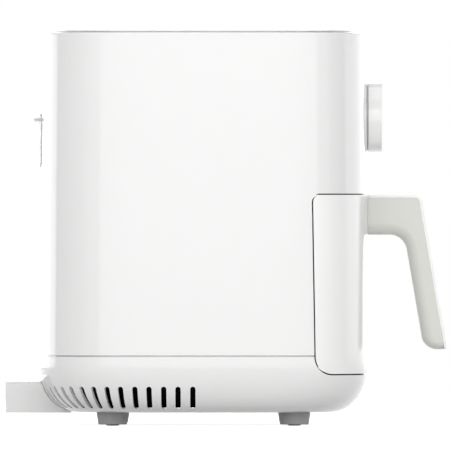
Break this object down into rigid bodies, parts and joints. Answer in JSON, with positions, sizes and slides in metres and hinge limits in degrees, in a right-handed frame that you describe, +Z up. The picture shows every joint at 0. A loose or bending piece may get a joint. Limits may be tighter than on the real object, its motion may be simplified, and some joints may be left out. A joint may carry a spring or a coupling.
{
  "type": "air fryer",
  "caption": "Compact hot-air fryer with a rounded-square body, pull-out pan drawer on an angled handle, a turning and pressing display dial, crisper plate, hot-air fan and rear exhaust.",
  "frame": {"origin": "on the table, under the middle of the object's bounding box", "axes": "+Z up; the drawer and its handle face -Y; +X is the user's right when facing the front"},
  "size_m": [0.252, 0.336, 0.3051],
  "materials": {
    "shell_white": "gloss",
    "drawer_white": "gloss",
    "frame_grey": "satin",
    "foot_grey": "matte",
    "pad_black": "matte",
    "screw_steel": "satin",
    "chamber_steel": "satin",
    "heater_steel": "heat darkened",
    "insulation": "matte",
    "lamination": "satin",
    "copper": "lacquered",
    "bush_bronze": "satin",
    "rotor_metal": "satin",
    "fan_metal": "satin",
    "fan_plastic": "satin",
    "board_green": "satin",
    "parts_dark": "satin",
    "knob_silver": "satin",
    "display_black": "gloss",
    "plunger_red": "satin",
    "seal_grey": "matte",
    "pan_dark": "satin non-stick",
    "handle_grey": "satin"
  },
  "bodies": {
    "housing": {"outer_shell": "shell_white", "top_cover": "shell_white", "base_housing": "shell_white", "front_frame": "parts_dark", "exhaust_grille": "frame_grey", "wall_spacer": "shell_white", "foot_front_left": "foot_grey", "foot_front_right": "foot_grey", "foot_rear_left": "foot_grey", "foot_rear_right": "foot_grey", "pad_front_left": "pad_black", "pad_front_right": "pad_black", "pad_rear_left": "pad_black", "pad_rear_right": "pad_black", "foot_screws": "screw_steel", "cord_bush": "pad_black", "inlet_screen": "parts_dark", "hot_chamber": "chamber_steel", "slide_rail_left": "chamber_steel", "slide_rail_right": "chamber_steel", "heater_coil": "heater_steel", "heater_guard": "screw_steel", "insulation_pad": "insulation", "exhaust_duct": "chamber_steel", "temperature_probe": "screw_steel", "motor_plate": "chamber_steel", "motor_stack": "lamination", "motor_winding": "copper", "motor_bridge": "chamber_steel", "bearing_lower": "bush_bronze", "bearing_upper": "bush_bronze", "motor_screws": "screw_steel", "power_board": "board_green", "power_parts": "parts_dark", "board_posts": "fan_plastic", "control_board": "board_green", "press_switch": "parts_dark", "knob_sleeve": "frame_grey", "drawer_switch": "parts_dark"},
    "drawer": {"drawer_front": "drawer_white", "drawer_back_panel": "frame_grey", "drawer_seal": "seal_grey", "pan_bracket": "screw_steel", "pan": "pan_dark", "pan_screws": "screw_steel", "handle_body": "handle_grey", "handle_cover": "drawer_white", "handle_screws": "screw_steel"},
    "crisper": {"crisper_plate": "pan_dark", "plate_bumpers": "seal_grey"},
    "knob_core": {"knob_hub": "knob_silver", "display_glass": "display_black", "display_module": "parts_dark"},
    "dial": {"knob_ring": "knob_silver"},
    "fan_rotor": {"motor_shaft": "screw_steel", "motor_rotor": "rotor_metal", "convection_fan": "fan_metal", "cooling_fan": "fan_plastic", "fan_nut": "screw_steel"},
    "plunger": {"switch_plunger": "plunger_red"}
  },
  "joints": [
    {"name": "drawer_slide", "type": "slide", "parent": "housing", "child": "drawer", "axis": [0, -1, 0], "range_m": [0, 0.23]},
    {"name": "crisper_lift", "type": "slide", "parent": "drawer", "child": "crisper", "axis": [0, 0, 1], "range_m": [0, 0.096]},
    {"name": "knob_press", "type": "slide", "parent": "housing", "child": "knob_core", "axis": [0, 1, 0], "range_m": [0, 0.0006], "stiffness_N_per_m": 2000, "springref_m": -0.0005},
    {"name": "knob_turn", "type": "hinge", "parent": "knob_core", "child": "dial", "pos_m": [0, -0.11246, 0.2345], "axis": [0, 1, 0], "continuous": true},
    {"name": "fan_spin", "type": "hinge", "parent": "housing", "child": "fan_rotor", "pos_m": [0, 0.03004, 0.23], "axis": [0, 0, 1], "continuous": true},
    {"name": "plunger_slide", "type": "slide", "parent": "housing", "child": "plunger", "axis": [0, -1, 0], "range_m": [0, 0.0016]}
  ],
  "couplings": [
    {"joint": "plunger_slide", "follows": "drawer_slide", "ratio": 0.006522}
  ]
}
